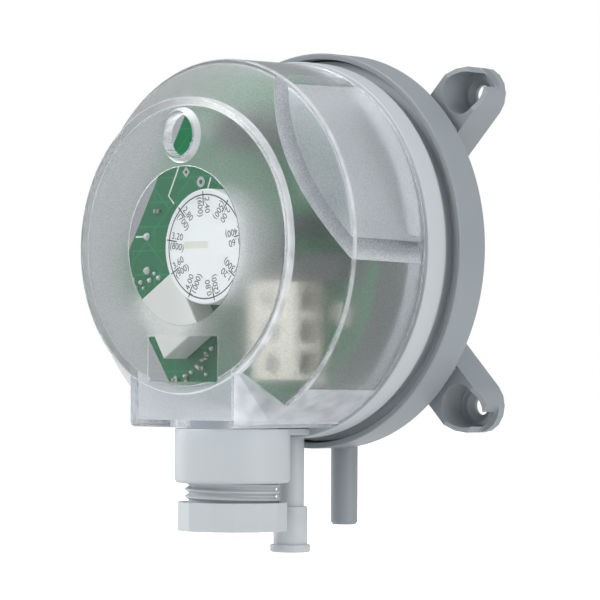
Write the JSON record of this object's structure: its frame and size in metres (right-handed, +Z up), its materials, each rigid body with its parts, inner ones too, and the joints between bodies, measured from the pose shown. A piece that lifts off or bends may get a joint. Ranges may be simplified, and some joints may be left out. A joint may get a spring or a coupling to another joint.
{
  "type": "differential pressure switch",
  "caption": "Round wall-mounted air pressure switch with a clear cover, a setting dial, two hose ports and a cable gland.",
  "frame": {"origin": "middle of the flat back face that lies on the wall", "axes": "+Y out of the back into the wall, the cover faces -Y, +Z up, gland and hose ports point to -Z"},
  "size_m": [0.085, 0.0592, 0.1071],
  "materials": {
    "grey_abs": "fine moulded texture",
    "light_grey_abs": "smooth satin",
    "clear_polycarbonate": "clear, frosted on the inside apart from the polished windows",
    "white_plastic": "smooth",
    "soft_white": "milky and soft",
    "cream_plastic": "smooth",
    "black_plastic": "fine satin",
    "black_rubber": "dull",
    "plated_steel": "bright plating",
    "board_laminate": "green lacquer"
  },
  "bodies": {
    "casing": {"base": "grey_abs", "housing": "light_grey_abs", "diaphragm": "black_rubber", "circuit_board": "board_laminate", "board_screw_1": "plated_steel", "board_screw_2": "plated_steel", "board_screw_3": "plated_steel", "board_screw_4": "plated_steel", "potentiometer": "black_plastic", "relay": "cream_plastic", "terminal_block": "cream_plastic", "capacitor_tall": "black_plastic", "capacitor_small": "black_plastic", "controller_chip": "black_plastic", "hall_sensor": "black_plastic", "status_light": "clear_polycarbonate", "gland_seal": "black_rubber"},
    "cover": {"cover": "clear_polycarbonate"},
    "dial": {"dial_knob": "white_plastic", "potentiometer_rotor": "plated_steel"},
    "plate": {"diaphragm_plate": "white_plastic", "diaphragm_spring": "plated_steel", "sensor_magnet": "plated_steel"},
    "washer": {"gland_washer": "white_plastic"},
    "nut": {"gland_nut": "light_grey_abs"},
    "port_cap": {"port_cap": "soft_white"},
    "screw_1": {"terminal_screw_1": "plated_steel"},
    "clamp_1": {"terminal_clamp_1": "plated_steel"},
    "screw_2": {"terminal_screw_2": "plated_steel"},
    "clamp_2": {"terminal_clamp_2": "plated_steel"},
    "screw_3": {"terminal_screw_3": "plated_steel"},
    "clamp_3": {"terminal_clamp_3": "plated_steel"}
  },
  "joints": [
    {"name": "cover_pull", "type": "slide", "parent": "casing", "child": "cover", "axis": [0, -1, 0], "range_m": [0, 0.045]},
    {"name": "dial_turn", "type": "hinge", "parent": "casing", "child": "dial", "pos_m": [0, -0.045, 0], "axis": [0, 1, 0], "range_deg": [-140, 140]},
    {"name": "plate_stroke", "type": "slide", "parent": "casing", "child": "plate", "axis": [0, -1, 0], "range_m": [0, 0.001], "stiffness_N_per_m": 1000},
    {"name": "gland_travel", "type": "slide", "parent": "casing", "child": "washer", "axis": [0, 0, -1], "range_m": [0, 0.00282]},
    {"name": "gland_turn", "type": "hinge", "parent": "washer", "child": "nut", "pos_m": [0, -0.0425, -0.056], "axis": [0, 0, -1], "range_deg": [0, 675]},
    {"name": "cap_pull", "type": "slide", "parent": "casing", "child": "port_cap", "axis": [0, 0, -1], "range_m": [0, 0.012]},
    {"name": "screw_turn_1", "type": "hinge", "parent": "casing", "child": "screw_1", "pos_m": [0.01701, -0.047, -0.02382], "axis": [0, 1, 0], "range_deg": [0, 865]},
    {"name": "clamp_rise_1", "type": "slide", "parent": "casing", "child": "clamp_1", "axis": [0, -1, 0], "range_m": [0, 0.0012]},
    {"name": "screw_turn_2", "type": "hinge", "parent": "casing", "child": "screw_2", "pos_m": [0.01701, -0.047, -0.01742], "axis": [0, 1, 0], "range_deg": [0, 865]},
    {"name": "clamp_rise_2", "type": "slide", "parent": "casing", "child": "clamp_2", "axis": [0, -1, 0], "range_m": [0, 0.0012]},
    {"name": "screw_turn_3", "type": "hinge", "parent": "casing", "child": "screw_3", "pos_m": [0.01701, -0.047, -0.01102], "axis": [0, 1, 0], "range_deg": [0, 865]},
    {"name": "clamp_rise_3", "type": "slide", "parent": "casing", "child": "clamp_3", "axis": [0, -1, 0], "range_m": [0, 0.0012]}
  ],
  "couplings": [
    {"joint": "gland_travel", "follows": "gland_turn", "m_per_rad": 0.00023873},
    {"joint": "screw_turn_1", "follows": "clamp_rise_1", "rad_per_m": 12566},
    {"joint": "screw_turn_2", "follows": "clamp_rise_2", "rad_per_m": 12566},
    {"joint": "screw_turn_3", "follows": "clamp_rise_3", "rad_per_m": 12566}
  ]
}
